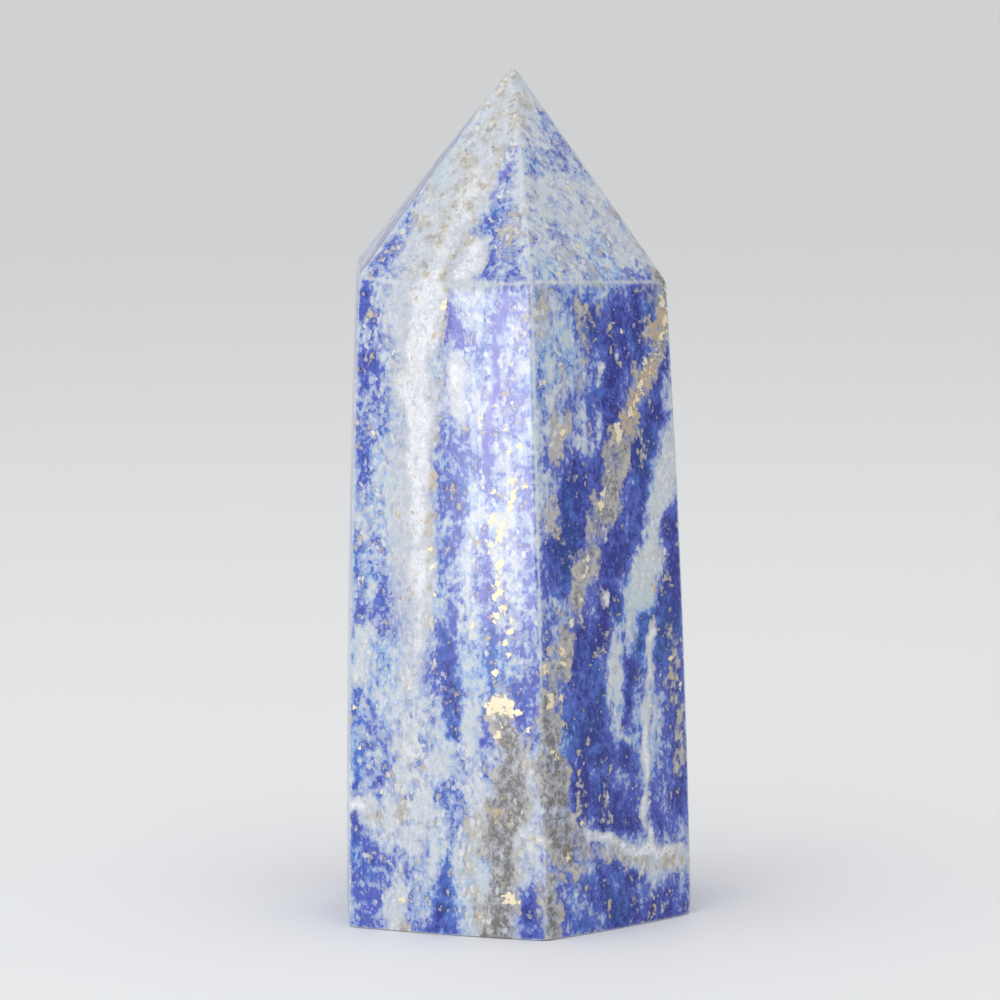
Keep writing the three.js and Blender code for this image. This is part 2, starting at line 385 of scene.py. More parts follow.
# Each body of mineral: what it is, how strongly it shows, and its path over a side or the facet
# above it, as (across from the side's middle, height, half width). A path of one point is a lump.
BODIES = {
    FRONT: (
        # The broad calcite band that runs up to the tip, and its whiter heart.
        ("calcite", 0.5, (-3.6, 68, 2.6), (-4.4, 58, 2.6), (-4.6, 46, 2.4), (-4.4, 34, 2.2),
         (-4.6, 26, 1.7)),
        ("calcite", 1.1, (-2.9, 68.5, 1.6), (-3.3, 64, 1.5), (-4, 58.5, 1.8), (-4, 53, 1.6)),
        ("calcite", 1.05, (-4, 53, 1.6), (-3.9, 46, 1.5), (-3.6, 40, 1.3), (-3.4, 34, 1.1), (-3.7, 30, 0.8)),
        ("calcite", 1.0, (0.4, 59, 0.8), (0.9, 54.8, 0.9)),
        ("calcite", 1.0, (-5.3, 22, 0.45), (-5.4, 19.4, 0.6)),
        ("calcite", 0.6, (-10.2, 30, 0.7), (-10.4, 27.3, 0.7)),
        ("calcite", 0.7, (-6.5, 2.8, 0.7), (-6.8, 0, 0.8)),
        # The fracture, healed with calcite.
        ("calcite", 1.2, (-12, 13.5, 0.6), (-10.4, 13.2, 0.4), (-9, 12.4, 0.3)),
        ("calcite", 1.0, (4.2, 13.2, 0.4), (5.5, 12.7, 0.34), (7, 11.8, 0.34), (8.5, 11, 0.34),
         (10, 10, 0.5)),
        ("rust", 0.7, (4.4, 13.4, 0.5)),
        # Where lazurite is dense.
        ("deep", 0.35, (-10.8, 67.8, 1.7), (-10.2, 65.6, 1.6), (-11, 63.6, 0.8)),
        ("deep", 0.2, (-10.3, 60.3, 2.2), (-9.4, 56.5, 2.0)),
        ("deep", 0.2, (-10.4, 55, 1.4), (-10.2, 48.5, 1.2)),
        ("deep", 0.2, (-11.2, 46, 1.0), (-10.9, 38, 0.9)),
        ("deep", 0.25, (-10.8, 33.2, 1.5), (-8.8, 35.4, 1.3), (-7.8, 38, 1.1)),
        ("deep", 0.3, (-10.8, 24, 1.4), (-9, 20.5, 1.3), (-9.4, 15.5, 1.4)),
        ("deep", 0.4, (-10.6, 9.6, 1.6), (-9.8, 5.5, 2.0), (-10.2, 0, 2.0)),
        ("deep", 0.8, (-0.8, 8.3, 0.5), (-1.2, 4.5, 0.9), (-1.5, 0, 1.6)),
        ("deep", 0.5, (0.2, 64.4, 1.2), (0.8, 62, 1.1)),
        ("deep", 0.45, (0, 52.2, 1.4), (0, 46.5, 1.3), (-0.3, 40, 1.1), (-0.3, 34, 1.1)),
        ("deep", 0.75, (-0.2, 33.5, 1.2), (0, 30, 1.5), (0, 26, 1.3), (0.2, 21.5, 1.1)),
        ("deep", 0.5, (4.3, 34, 0.8), (4.1, 28.6, 1.0)),
        ("deep", 0.6, (7.8, 4, 1.2), (8.2, 0.5, 1.4)),
        ("deep", 1.0, (-4.5, 31.1, 0.4)),
        ("deep", 1.0, (-4.8, 15.8, 0.45)),
        ("deep", 1.0, (-3, 55.8, 0.35)),
        ("deep", 0.8, (-4.3, 55.5, 0.3)),
        ("deep", 1.0, (2.8, 20.8, 0.6)),
        # Where lazurite is thin.
        ("pale", 0.65, (-10, 62.3, 1.1)),
        ("pale", 0.5, (-7, 66, 1.5), (-6.6, 61.5, 1.5)),
        ("pale", 0.45, (-7.2, 50, 1.5), (-6.8, 44.5, 1.6), (-6.6, 40, 1.3)),
        ("pale", 0.6, (-9.3, 43.8, 0.7), (-9.1, 40.6, 0.8)),
        ("pale", 0.7, (-9.7, 37.2, 0.7), (-9.4, 35, 0.8)),
        ("pale", 0.75, (-10.3, 31.2, 1.1), (-10.3, 27, 1.2)),
        ("pale", 0.75, (2.1, 46, 0.8), (2.1, 38, 0.9), (2, 30, 0.9), (2, 23, 0.8), (2.3, 14, 1.1)),
        ("pale", 0.6, (2.7, 67, 1.2), (2.9, 63, 1.1)),
        ("pale", 0.5, (3, 60, 1.4), (2.8, 53.5, 1.4)),
        ("pale", 0.8, (-5.2, 24.5, 1.9), (-4.6, 17.5, 2.1), (-5.3, 11, 2.6)),
        ("pale", 0.6, (-9.4, 12.4, 1.4), (-6, 10, 1.6)),
        ("pale", 0.9, (1.1, 9.2, 1.1), (1.2, 6.3, 1.0)),
        ("pale", 0.7, (-1.5, 13, 0.8), (-1.5, 9.6, 0.8)),
        ("pale", 0.7, (2.4, 4.6, 2.0), (2.4, 0.5, 2.2)),
        ("pale", 0.8, (8.2, 9.6, 1.1), (8, 6, 1.0)),
        ("pale", 0.8, (-6.6, 4.6, 1.2), (-6.8, 0, 1.4)),
        # The dark seam beside the calcite, and the grey foot of the side.
        ("matrix", 0.7, (-0.8, 68.5, 0.5), (-1.2, 63, 0.4), (-1.4, 57, 0.4), (-2.1, 51, 0.45)),
        ("matrix", 0.62, (-2.1, 51, 0.45), (-2.1, 44, 0.45), (-2.2, 36, 0.5), (-2.4, 29, 0.5)),
        ("deep", 0.8, (4.2, 26.4, 0.7), (6.4, 26.8, 0.8), (7.8, 24.6, 0.7), (7.2, 22.6, 0.6)),
        ("matrix", 0.6, (5.6, 26, 1.4), (5.4, 24, 1.9)),
        ("matrix", 0.9, (5.8, 22.5, 1.6), (6.5, 18.5, 1.9), (5.9, 14, 2.1), (5.2, 10, 2.2)),
        ("matrix", 0.85, (5.2, 10, 2.2), (5.4, 6, 1.9), (4.6, 0, 2.1)),
        ("matrix", 0.5, (3.4, 14, 1.0), (2.6, 8, 1.2), (2.4, 1.5, 1.4)),
        ("pale", 0.8, (8.4, 19, 1.1), (8.7, 15, 1.1), (7.6, 5.4, 0.9)),
        ("matrix", 0.6, (-3, 11.6, 1.0)),
        ("matrix", 0.55, (-9.6, 12.8, 1.0), (-6.4, 12, 1.0)),
        ("matrix", 0.5, (-6, 1, 1.2)),
        ("rust", 0.8, (-2.6, 11.4, 0.5)),
        # Purple threads, and a haze round them that is partly painted sheen.
        ("violet", 1.3, (5.6, 67.4, 0.4), (5.4, 64, 0.4), (4.8, 59.5, 0.45), (4.3, 56, 0.45), (4, 50, 0.5)),
        ("violet", 0.7, (4, 50, 0.5), (3.6, 44, 0.5), (3.6, 40, 0.5), (3.4, 36, 0.6), (3.3, 32, 0.6)),
        ("deep", 0.9, (5.6, 67.4, 0.25), (5.4, 64, 0.3), (4.8, 59.5, 0.3), (4.3, 56, 0.3), (4, 50, 0.3)),
        ("deep", 0.6, (4, 50, 0.3), (3.6, 44, 0.35), (3.6, 40, 0.35), (3.4, 36, 0.45), (3.3, 32, 0.5)),
        ("deep", 0.5, (8.4, 52, 0.5), (8.2, 40, 0.5), (7.8, 30, 0.5)),
        ("deep", 0.5, (6.7, 58, 0.35), (6.9, 50, 0.4)),
        ("violet", 0.6, (0.4, 66, 0.9), (0.6, 62.6, 1.2)),
        # A broad violet and pale wash over the right of this side: partly the stone's own lilac grey, partly
        # painted sheen.
        ("violet", 0.36, (6.8, 66, 2.4), (7, 50, 2.4), (7.3, 38, 2.3), (7.5, 29, 1.9)),
        ("pale", 0.4, (7.4, 66, 2.0), (7.3, 50, 2.0), (7.4, 38, 1.8), (7.7, 29, 1.5)),
        # How thickly pyrite is sprinkled.
        ("pyrite", 0.5, (-0.8, 68, 0.7), (-1.4, 57, 0.6), (-2.1, 44, 0.6), (-2.3, 28, 0.7)),
        ("pyrite", 0.35, (6.4, 67, 1.7), (6.2, 54, 1.7), (6, 47, 2.1)),
        ("pyrite", 0.6, (5, 43, 1.8), (5.2, 37, 1.3), (5.4, 32, 1.3), (6.2, 29.5, 0.8)),
        ("pyrite", 0.45, (5.5, 27, 2.4), (5.9, 22, 2.4)),
        ("pyrite", 0.25, (5.8, 20, 2.2), (5, 4, 2.2)),
        ("pyrite", 0.15, (-8.8, 24, 2.0), (-6, 12, 2.6), (-6, 2, 2.4)),
        # The point above.
        ("pale", 1.0, (0, 89, 3.5), (0, 84, 3.5), (-3, 78, 3.0), (-5, 71, 2.6)),
        ("calcite", 0.95, (-2.9, 68.2, 1.9), (-3, 72, 1.7), (-1, 77, 2.0), (-0.7, 80, 1.2)),
        ("calcite", 0.75, (-0.4, 83, 0.9), (-0.3, 86, 1.1), (0, 90, 0.9)),
        ("calcite", 0.9, (-4.6, 75.4, 0.8)),
        ("calcite", 1.0, (0.9, 71.6, 1.3), (0.5, 68.8, 1.4)),
        ("matrix", 0.52, (0, 88, 1.6), (1.2, 84.5, 2.4), (-2, 81, 2.0)),
        ("matrix", 0.48, (-2.4, 80, 2.0), (-4.4, 74, 2.4), (-4.6, 70, 1.8)),
        ("matrix", 0.52, (-3.3, 80, 0.7), (-3.3, 73, 0.9)),
        ("matrix", 0.36, (4.4, 77, 1.2), (4.8, 71, 1.6)),
        ("matrix", 0.6, (0.4, 81, 0.6), (-0.4, 76, 0.7), (-0.6, 73, 0.6), (-0.9, 70, 0.6), (-1.1, 68, 0.55)),
        ("matrix", 0.5, (5.1, 77, 0.8), (5.6, 74, 0.9)),
        ("violet", 1.0, (2.9, 82.5, 0.3), (2.5, 81, 0.35), (2, 79.5, 0.35), (1.3, 76.5, 0.35)),
        ("deep", 0.22, (2.9, 78.5, 1.0), (2.5, 73.6, 1.6)),
        ("deep", 0.2, (-8.4, 72, 0.9), (-8.3, 68.6, 0.9)),
        ("deep", 0.2, (-6.2, 69.4, 0.8)),
        ("deep", 0.22, (5.6, 72.2, 1.1), (5.8, 69.4, 1.1)),
        ("deep", 0.5, (2.9, 69.4, 0.7)),
    ),
    RIGHT: (
        # The slanting brassy band.
        ("matrix", 0.8, (8.2, 67.5, 1.6), (7.6, 63, 1.6), (6.4, 60, 1.7), (4.8, 58, 1.6), (3.6, 55.5, 1.5)),
        ("matrix", 0.75, (3.6, 55.5, 1.5), (1.8, 52.6, 1.5), (0.4, 49.8, 1.4), (-1, 46, 1.7),
         (-2.2, 43, 1.5), (-3.8, 38.6, 1.3), (-5, 36, 1.2)),
        ("matrix", 0.7, (-5, 36, 1.2), (-6.2, 33.5, 1.1), (-7.2, 30, 1.2), (-8.4, 27.5, 1.3)),
        ("rust", 0.65, (7.6, 64, 1.0), (6, 59.8, 1.0), (3.4, 55, 1.0), (1.2, 52, 0.9)),
        ("pyrite", 1.05, (8.4, 67.5, 1.2), (7.9, 62, 1.2), (6, 59.6, 1.2), (4.4, 57, 1.1), (2.6, 53.6, 1.0)),
        ("pyrite", 0.7, (2.6, 53.6, 0.9), (0.6, 50.6, 0.9), (-1.4, 45.6, 1.3), (-2.6, 42, 1.1)),
        ("pyrite", 0.6, (-2.6, 42, 1.1), (-4.4, 37.5, 1.0), (-6.2, 33, 1.0), (-7.4, 29, 1.1),
         (-9.4, 25, 1.0)),
        # Grey streaks to the left of the band.
        ("matrix", 0.55, (-8.4, 67, 1.2), (-9, 62.5, 1.0)),
        ("matrix", 0.55, (-5.6, 57.5, 0.9), (-6.6, 52.6, 1.2), (-7.8, 47, 1.1), (-8.8, 42.5, 1.0)),
        ("matrix", 0.45, (-4, 65, 1.0), (-3.2, 60.5, 1.2), (-3.8, 56.5, 0.9)),
        # The grey, pyrite-rich left edge and foot.
        ("matrix", 0.85, (-9.6, 25, 1.4), (-9.2, 18, 1.7), (-8.6, 13, 1.9), (-7.8, 9, 2.0)),
        ("matrix", 0.8, (-9.6, 6, 1.2), (-9.7, 0, 1.4)),
        ("matrix", 0.7, (-5.6, 11, 1.2), (-6, 7.4, 1.2)),
        ("matrix", 0.5, (6.6, 66.5, 1.7), (6.2, 62, 1.6)),
        ("matrix", 0.55, (-1.2, 67.5, 1.1), (-0.9, 64.2, 1.0)),
        ("matrix", 0.4, (7.8, 29.5, 1.3), (7.8, 22, 1.4), (8.1, 16, 1.2)),
        ("matrix", 0.6, (0.8, 48, 0.9)),
        ("pyrite", 0.4, (-9.4, 24, 1.4), (-8.8, 14, 1.5), (-6, 9, 1.6)),
        ("pyrite", 0.25, (-9.6, 6, 1.0), (-9.6, 0, 1.2)),
        ("pyrite", 0.15, (8, 30, 1.4), (8, 15, 1.4)),
        ("pyrite", 0.2, (2, 66, 2.0), (-6, 62, 3.0)),
        # The pale vein, forked at its foot.
        ("pale", 1.2, (8.4, 51.5, 0.9), (8, 49, 1.3), (7.1, 47, 1.7), (6.7, 45, 1.5), (5.7, 43, 1.1),
         (5.1, 41, 1.3), (4.4, 39, 2.0), (3.8, 37.2, 2.1), (3, 35.7, 2.0), (2, 34.4, 1.6),
         (1.3, 33, 1.0), (1.4, 30, 0.7), (1, 28.3, 0.5)),
        ("pale", 1.1, (-1, 31.9, 0.7), (-1.2, 29.5, 1.0), (-1.2, 27, 1.5), (-1, 24.5, 1.2), (-0.9, 22, 0.8)),
        ("pale", 1.0, (-0.9, 22, 0.6), (-0.3, 20.2, 0.5), (0.8, 19.6, 0.7)),
        ("pale", 0.9, (0.5, 22.8, 0.4)),
        ("calcite", 0.8, (1, 28, 0.16), (0.7, 26, 0.14), (0.4, 24, 0.14)),
        ("matrix", 0.5, (7.9, 48.5, 0.4), (7.8, 46, 0.35)),
        # The bright streak, in its sky-blue halo.
        ("calcite", 1.4, (4.8, 32.3, 0.36), (4.4, 31, 0.44), (4.1, 30, 0.4), (4.3, 28.5, 0.42),
         (4.2, 27, 0.4), (3.6, 24, 0.44), (3.3, 21, 0.48), (3, 18, 0.5), (2.9, 15.5, 0.44)),
        ("calcite", 1.2, (2.9, 15.5, 0.44), (3, 12, 0.38), (3.5, 8, 0.34)),
        ("pale", 0.62, (4.2, 29, 1.0), (3.8, 24, 1.7), (3.6, 19, 1.6), (3.2, 13, 1.1)),
        ("pale", 0.5, (6, 27, 0.9), (6, 24, 0.9)),
        ("pale", 0.5, (-3, 17, 0.6), (0, 15.4, 0.7), (2.5, 14, 0.7)),
        ("pale", 0.5, (5.3, 13.6, 1.1)),
        # The fracture, healed with calcite.
        ("calcite", 1.6, (-6.4, 12.6, 0.32), (-5.3, 11.3, 0.36), (-4, 10.4, 0.4), (-2.3, 9.5, 0.4),
         (-0.8, 9, 0.4), (1, 8.4, 0.4), (2.5, 7.9, 0.45), (4.5, 7.5, 0.4), (6.8, 7, 0.4),
         (10, 6.2, 0.45)),
        ("calcite", 0.6, (-1, 8.6, 0.5), (2.5, 7.2, 0.8), (6.8, 6.3, 1.0), (10, 5.6, 1.0)),
        ("pale", 0.9, (0, 7.5, 0.8), (4, 6.2, 1.2), (10, 5.3, 1.1)),
        ("pale", 0.6, (-3, 8.3, 1.0), (2, 8.6, 1.3), (9.5, 8, 1.2)),
        ("matrix", 0.7, (-4.5, 8.7, 0.9), (-1, 7.8, 0.6), (3.4, 6.4, 0.5)),
        ("matrix", 0.6, (3.4, 6.4, 0.5), (7.2, 6, 0.6), (10, 5.4, 0.6)),
        ("rust", 0.5, (4.2, 6.6, 0.5), (7, 6.2, 0.6), (9.6, 5.6, 0.5)),
        ("calcite", 1.1, (6, 4.9, 0.3), (6, 1.6, 0.26)),
        ("pale", 0.7, (4, 4.3, 0.5), (3.9, 3, 0.4)),
        ("pale", 0.7, (8.6, 4.6, 0.6), (8.6, 3.4, 0.5)),
        # Short white dashes.
        ("calcite", 1.1, (-7.6, 37.3, 0.24), (-7.6, 34, 0.26)),
        ("calcite", 1.1, (-1.6, 35.5, 0.22), (-1.6, 33.2, 0.24)),
        ("calcite", 1.2, (0.1, 43.2, 0.26), (0.1, 42, 0.26)),
        ("calcite", 1.0, (-1.5, 42.5, 0.28), (-1.4, 41, 0.28)),
        ("calcite", 1.1, (-1.2, 60.8, 0.2), (-1.5, 57, 0.26)),
        ("calcite", 1.0, (0.6, 61.5, 0.18), (0.6, 60, 0.18)),
        ("calcite", 1.1, (-7.4, 56.5, 0.24), (-7.4, 54.5, 0.24)),
        ("pale", 1.0, (-1, 53.4, 0.5), (-1.7, 51.6, 0.45)),
        # Mottled top left, and thin places.
        ("pale", 0.55, (-7, 67.5, 1.8), (-7.3, 62, 2.2), (-6.8, 57.5, 2.4)),
        ("pale", 0.65, (-9.2, 48, 1.2), (-9, 44.5, 1.1), (-9.5, 42.5, 0.8)),
        ("pale", 0.6, (-3.6, 61, 0.9), (-3.4, 55, 1.2), (-3.2, 51, 0.8)),
        ("pale", 0.6, (-6.7, 52.5, 1.3)),
        # Dense lazurite.
        ("deep", 0.85, (-4.5, 30, 2.6), (-3.8, 23, 2.4), (-4.2, 14.5, 2.0)),
        ("deep", 0.7, (-7, 42, 2.4), (-7.2, 38, 2.0)),
        ("deep", 0.6, (7.2, 58, 1.8), (6.5, 53, 1.7)),
        ("deep", 0.6, (7.7, 37, 1.5), (7.8, 32, 1.5)),
        ("deep", 0.35, (-5.4, 3.6, 1.8), (2, 2.6, 2.6), (8, 1.6, 1.6)),
        ("pale", 0.45, (-6.4, 4.6, 0.9), (-3.4, 2.2, 0.8)),
        ("pale", 0.4, (1.6, 3.8, 0.7), (2.4, 0.8, 0.6)),
        ("deep", 0.5, (0, 13, 1.7)),
        ("deep", 0.5, (4.9, 16.6, 1.0)),
        ("deep", 0.5, (8.2, 43.8, 0.9), (8.4, 41, 0.9)),
        ("deep", 0.5, (2.3, 67, 1.8), (2.4, 64, 1.8)),
        ("deep", 0.4, (0.7, 61, 1.5), (1, 56.5, 1.4)),
        ("deep", 0.4, (-4.7, 48, 1.7), (-4.5, 45, 1.7)),
        ("violet", 0.3, (2.3, 67, 1.6), (2.4, 64, 1.6)),
        ("violet", 0.3, (8, 28, 1.4), (8, 17, 1.4)),
        ("rust", 0.9, (5, 35.7, 0.42)),
        ("rust", 0.5, (-6.7, 52.5, 0.7)),
        # The point above. Its broad pale wash is partly painted sheen from the bright sky over it.
        ("pale", 0.5, (0, 82, 3.0), (0, 77, 4.5), (-2, 71, 6.0), (4, 71, 4.0)),
        ("calcite", 0.5, (1.2, 78, 0.8), (3.4, 74, 1.0), (5.6, 70.6, 0.9)),
        ("calcite", 0.5, (-2.6, 74, 1.0), (0.4, 74.6, 0.9)),
        ("pale", 1.0, (-0.5, 90, 2.0), (-0.6, 86, 1.8)),
        ("pale", 0.9, (2.6, 76.3, 1.2)),
        ("pale", 0.8, (-8, 69, 0.7), (-1, 68.9, 0.6)),
        ("matrix", 0.42, (-0.5, 88, 1.2), (-0.8, 85, 1.2)),
        ("matrix", 0.6, (-4.4, 78, 0.8), (-4.6, 75, 0.9)),
        ("matrix", 0.45, (-5, 71, 1.2)),
        ("deep", 0.5, (0.8, 85, 0.9), (1.6, 81.4, 1.7), (2.2, 79, 1.2)),
        ("deep", 0.5, (-3.2, 79, 0.9)),
        ("deep", 0.55, (5.4, 73.6, 1.2), (7.4, 71, 1.2)),
        ("deep", 0.55, (-4.6, 73.4, 1.0), (-4.2, 71.6, 0.8)),
        ("deep", 0.7, (0.9, 71.6, 0.5)),
        ("deep", 0.7, (3.7, 73.5, 0.6)),
        ("deep", 0.7, (5.2, 72.6, 0.6)),
        ("deep", 0.7, (-1.5, 69.4, 0.5)),
        ("deep", 0.7, (1, 70, 0.7)),
        ("deep", 0.7, (5.7, 70.4, 0.6)),
        ("pyrite", 0.1, (0, 76, 3.0), (-3, 71, 4.0)),
    ),
    BACK_RIGHT: (
        # The fracture, which fades out here, and the pale vein and the brassy band of the right side.
        ("calcite", 0.95, (-9.9, 6.4, 0.3), (-7, 7.2, 0.26), (-4.5, 8.9, 0.22), (-2, 9.8, 0.2),
         (2, 12.4, 0.15)),
        ("pale", 0.8, (-9.9, 5.6, 0.9), (-6.4, 6.4, 0.8), (-3, 8.6, 0.6)),
        ("pale", 1.0, (-9.6, 52.5, 1.0), (-8.4, 56, 1.3), (-7, 61, 1.4), (-6.2, 67, 1.7), (-5, 73, 1.5)),
        ("matrix", 0.8, (-9.6, 66.5, 1.0), (-8.6, 69.5, 0.9), (-6.4, 75, 1.0)),
        # Veins of its own.
        ("matrix", 0.75, (7.2, 63, 1.0), (5.6, 52, 0.9), (6.4, 40, 1.2), (7.6, 28, 0.9),
         (6.8, 14, 1.1), (7.4, 0, 1.2)),
        ("pyrite", 0.6, (7.2, 63, 1.0), (5.6, 52, 0.9), (6.4, 40, 1.2), (7.6, 28, 0.9), (6.8, 14, 1.1)),
        ("deep", 0.6, (0, 61, 2.4), (1, 45, 2.2), (-2, 30, 2.6), (0, 15, 2.8)),
        ("calcite", 0.9, (3.2, 66, 0.25), (2.6, 55, 0.5), (3.4, 44, 0.3), (2.8, 36, 0.55), (3.6, 24, 0.25)),
        ("pale", 0.6, (3, 60, 0.9), (2.6, 50, 1.2), (3.2, 36, 1.1), (3.5, 26, 0.8)),
        ("pale", 0.9, (-5, 41, 1.2), (-4.4, 35, 1.6), (-6, 28, 0.9)),
        ("pale", 0.8, (-6.4, 20, 1.2), (-5.8, 14.5, 1.3)),
        ("violet", 0.6, (-1.6, 66, 0.3), (-2.4, 52, 0.3), (-1.8, 38, 0.3)),
        ("deep", 0.6, (2, 78, 1.6), (3, 71, 2.0)),
        ("calcite", 0.8, (-1, 84, 0.9), (-0.4, 78, 0.6)),
    ),
    BACK: (
        # A broad calcite band like the front's, with its dark seam.
        ("calcite", 0.5, (-2, 70, 3.0), (-1, 60, 2.9), (0.5, 50, 3.2), (1.5, 40, 2.7), (1, 30, 3.0),
         (2.6, 0, 2.8)),
        ("calcite", 1.0, (-2.2, 70, 1.7), (-1.2, 60, 1.3), (0.2, 50, 1.8), (1.2, 40, 1.1), (0.6, 31, 1.6)),
        ("calcite", 0.9, (2, 21, 1.1), (1.6, 12, 1.4), (2.8, 3, 0.9)),
        ("matrix", 0.8, (1.2, 69, 0.45), (2.6, 55, 0.4), (4.2, 45, 0.5), (3.8, 33, 0.4),
         (4.8, 18, 0.5), (5.4, 4, 0.6)),
        ("pyrite", 0.55, (1.2, 69, 0.8), (2.6, 55, 0.7), (4.2, 45, 0.9), (3.8, 33, 0.7), (5.2, 4, 0.8)),
        ("deep", 0.7, (-7, 63, 1.7), (-5.8, 55, 2.1)),
        ("deep", 0.7, (-7.8, 47, 1.5), (-6.4, 39, 2.1), (-5.2, 33, 1.2)),
        ("deep", 0.6, (-6.6, 27, 1.8), (-5.2, 21, 1.4)),
        ("deep", 0.7, (7, 65, 1.5), (6.6, 59, 1.3)),
        ("deep", 0.7, (7.8, 51, 1.5), (7, 42, 2.0)),
        ("deep", 0.7, (8.2, 31, 1.3), (6.4, 24, 1.7)),
        ("deep", 0.6, (8.2, 10, 1.5), (6.8, 3, 1.7)),
        ("pale", 0.7, (-4.2, 66, 1.2), (-3.4, 52, 1.1), (-3, 40, 1.4), (-3.6, 22, 1.2), (-1, 8, 1.4)),
        ("pale", 0.7, (-8.9, 52, 1.0), (-9, 40, 0.8)),
        ("pale", 0.7, (-8.6, 32, 1.0), (-8.9, 20, 1.1), (-8, 4, 1.3)),
        ("pale", 0.6, (7, 55.6, 0.9), (8.4, 36, 1.3)),
        ("pale", 0.6, (5.8, 19, 1.0), (7.6, 15.8, 1.2)),
        ("matrix", 0.9, (-6.2, 18, 1.5), (-6.8, 12, 1.7), (-6, 5, 1.3)),
        ("pyrite", 0.5, (-6.2, 19, 1.6), (-6.4, 8, 1.5)),
        ("calcite", 0.9, (9.6, 17, 0.25), (7.4, 15.4, 0.2), (5, 14.8, 0.2), (2, 13.2, 0.2)),
        ("calcite", 0.9, (-1.6, 72, 1.6), (-0.8, 79, 1.3), (0, 86, 0.9)),
        ("pale", 0.8, (0, 88, 2.4), (1.4, 80, 2.0), (-4, 72, 1.6)),
        ("deep", 0.6, (4, 76, 1.3), (6, 70, 1.4)),
    ),
    BACK_LEFT: (
        # A pale vein that slants down and thins out.
        ("pale", 0.9, (-8.8, 65, 1.2), (-7.4, 58, 1.6), (-5.6, 52, 1.2), (-4.6, 46, 1.8),
         (-2.8, 40, 1.1), (-1.8, 34, 1.6), (-0.4, 28, 0.9), (-1, 23, 0.6)),
        ("calcite", 0.9, (-7.4, 58, 0.6), (-5.4, 51, 0.5), (-4.4, 45, 0.8), (-2, 35, 0.5)),
        ("pale", 0.7, (1.6, 62, 1.4), (2, 56, 1.0)),
        ("pale", 0.65, (8.4, 52, 1.2), (7.6, 45, 1.5), (8.2, 39, 1.0)),
        ("pale", 0.7, (4.4, 24, 1.4), (5.8, 19, 1.6)),
        ("pale", 0.6, (-7.4, 24, 1.4), (-6.8, 18, 1.1), (-7.6, 11, 1.6)),
        ("pale", 0.6, (0.6, 8, 1.3), (1.6, 3, 1.1)),
        ("deep", 0.7, (-3, 64, 1.6), (-1.4, 57, 1.9), (0, 49, 1.5)),
        ("deep", 0.7, (-8, 44, 1.4), (-7, 37, 1.9), (-5.6, 31, 1.4)),
        ("deep", 0.7, (6.8, 63, 1.5), (6.8, 58, 1.2)),
        ("deep", 0.6, (5.4, 37, 1.8), (4.4, 30, 1.4)),
        ("deep", 0.6, (-3.6, 16, 1.8), (-3, 9, 2.0), (-4.6, 2, 1.6)),
        ("deep", 0.6, (7.6, 9, 1.6), (6.4, 3, 1.8)),
        ("matrix", 0.75, (4.8, 67, 0.7), (4, 58, 0.9), (2.2, 50, 0.7), (2.6, 42, 1.0), (1.2, 35, 0.7)),
        ("matrix", 0.7, (1.2, 35, 0.7), (2, 27, 0.9), (1, 20, 0.7)),
        ("pyrite", 0.6, (4.8, 67, 0.9), (4, 58, 1.1), (2.2, 50, 0.9), (2.6, 42, 1.2), (1.2, 35, 0.9)),
        ("pyrite", 0.5, (1.2, 35, 0.9), (2, 27, 1.1), (1, 20, 0.9)),
        # The fracture.
        ("calcite", 1.2, (-9.8, 17, 0.32), (-6, 18.2, 0.36), (-2, 16.6, 0.34), (3, 15.4, 0.36),
         (9, 13.6, 0.4)),
        ("pale", 0.6, (-6, 17.2, 0.8), (3, 14.4, 1.0), (9, 12.8, 0.9)),
        # The point above.
        ("calcite", 0.7, (4.4, 74, 0.7), (2, 82, 0.6)),
        ("deep", 0.6, (-3, 74, 1.6), (-1, 80, 1.2)),
        ("pale", 0.8, (0, 88, 2.2), (2, 82, 1.4)),
    ),
    LEFT: (
        # A calcite vein that slants down across the side, with its dark seam.
        ("calcite", 0.9, (4.2, 68, 1.0), (3, 61, 1.3), (0.6, 53, 0.9), (-1, 46, 1.4), (-3.4, 38, 1.0),
         (-4, 31, 0.6), (-6.2, 24, 0.9)),
        ("calcite", 0.5, (3.4, 66, 2.2), (0.4, 52, 2.0), (-2, 42, 2.3), (-5, 28, 1.7)),
        ("matrix", 0.7, (5.6, 66, 0.4), (4.6, 60, 0.45), (2.4, 52, 0.45), (1, 45, 0.5), (-1.4, 37, 0.45)),
        ("pyrite", 0.5, (4.6, 60, 0.7), (2, 50, 0.8), (-1, 38, 0.7)),
        ("pale", 0.8, (8.8, 31, 1.3), (9.4, 27, 1.2)),
        ("pale", 0.7, (7.6, 58, 1.3), (8.4, 51, 1.1)),
        ("pale", 0.7, (-6.6, 63, 1.6), (-7.4, 57, 1.2)),
        ("pale", 0.65, (4.6, 42, 1.5), (5.4, 35, 1.1), (3.8, 28, 1.7), (2.6, 20, 1.3)),
        ("pale", 0.6, (-7.6, 15, 1.6), (-4, 8, 1.3), (-5, 2, 1.6)),
        ("pale", 0.6, (6, 6, 1.4), (4.6, 1, 1.2)),
        ("deep", 0.6, (8.6, 66, 1.5), (9, 62, 1.0)),
        ("deep", 0.7, (6.6, 48, 1.3), (7.8, 42, 1.6), (7, 37, 1.0)),
        ("deep", 0.7, (-5.6, 50, 1.8), (-6.6, 43, 2.2), (-7.4, 34, 1.5)),
        ("deep", 0.6, (-1, 64, 1.3), (-2.6, 57, 1.7)),
        ("deep", 0.7, (7.6, 22, 1.6), (6.6, 17, 1.3)),
        ("deep", 0.6, (-1.4, 28, 1.3), (-2.8, 20, 1.9)),
        ("deep", 0.6, (8.8, 5, 1.6), (1, 3, 1.8)),
        ("matrix", 0.8, (0.4, 20, 0.9), (0, 15, 1.3), (0.8, 9, 1.0)),
        ("pyrite", 0.5, (0.4, 18, 1.2), (0.6, 9, 1.1)),
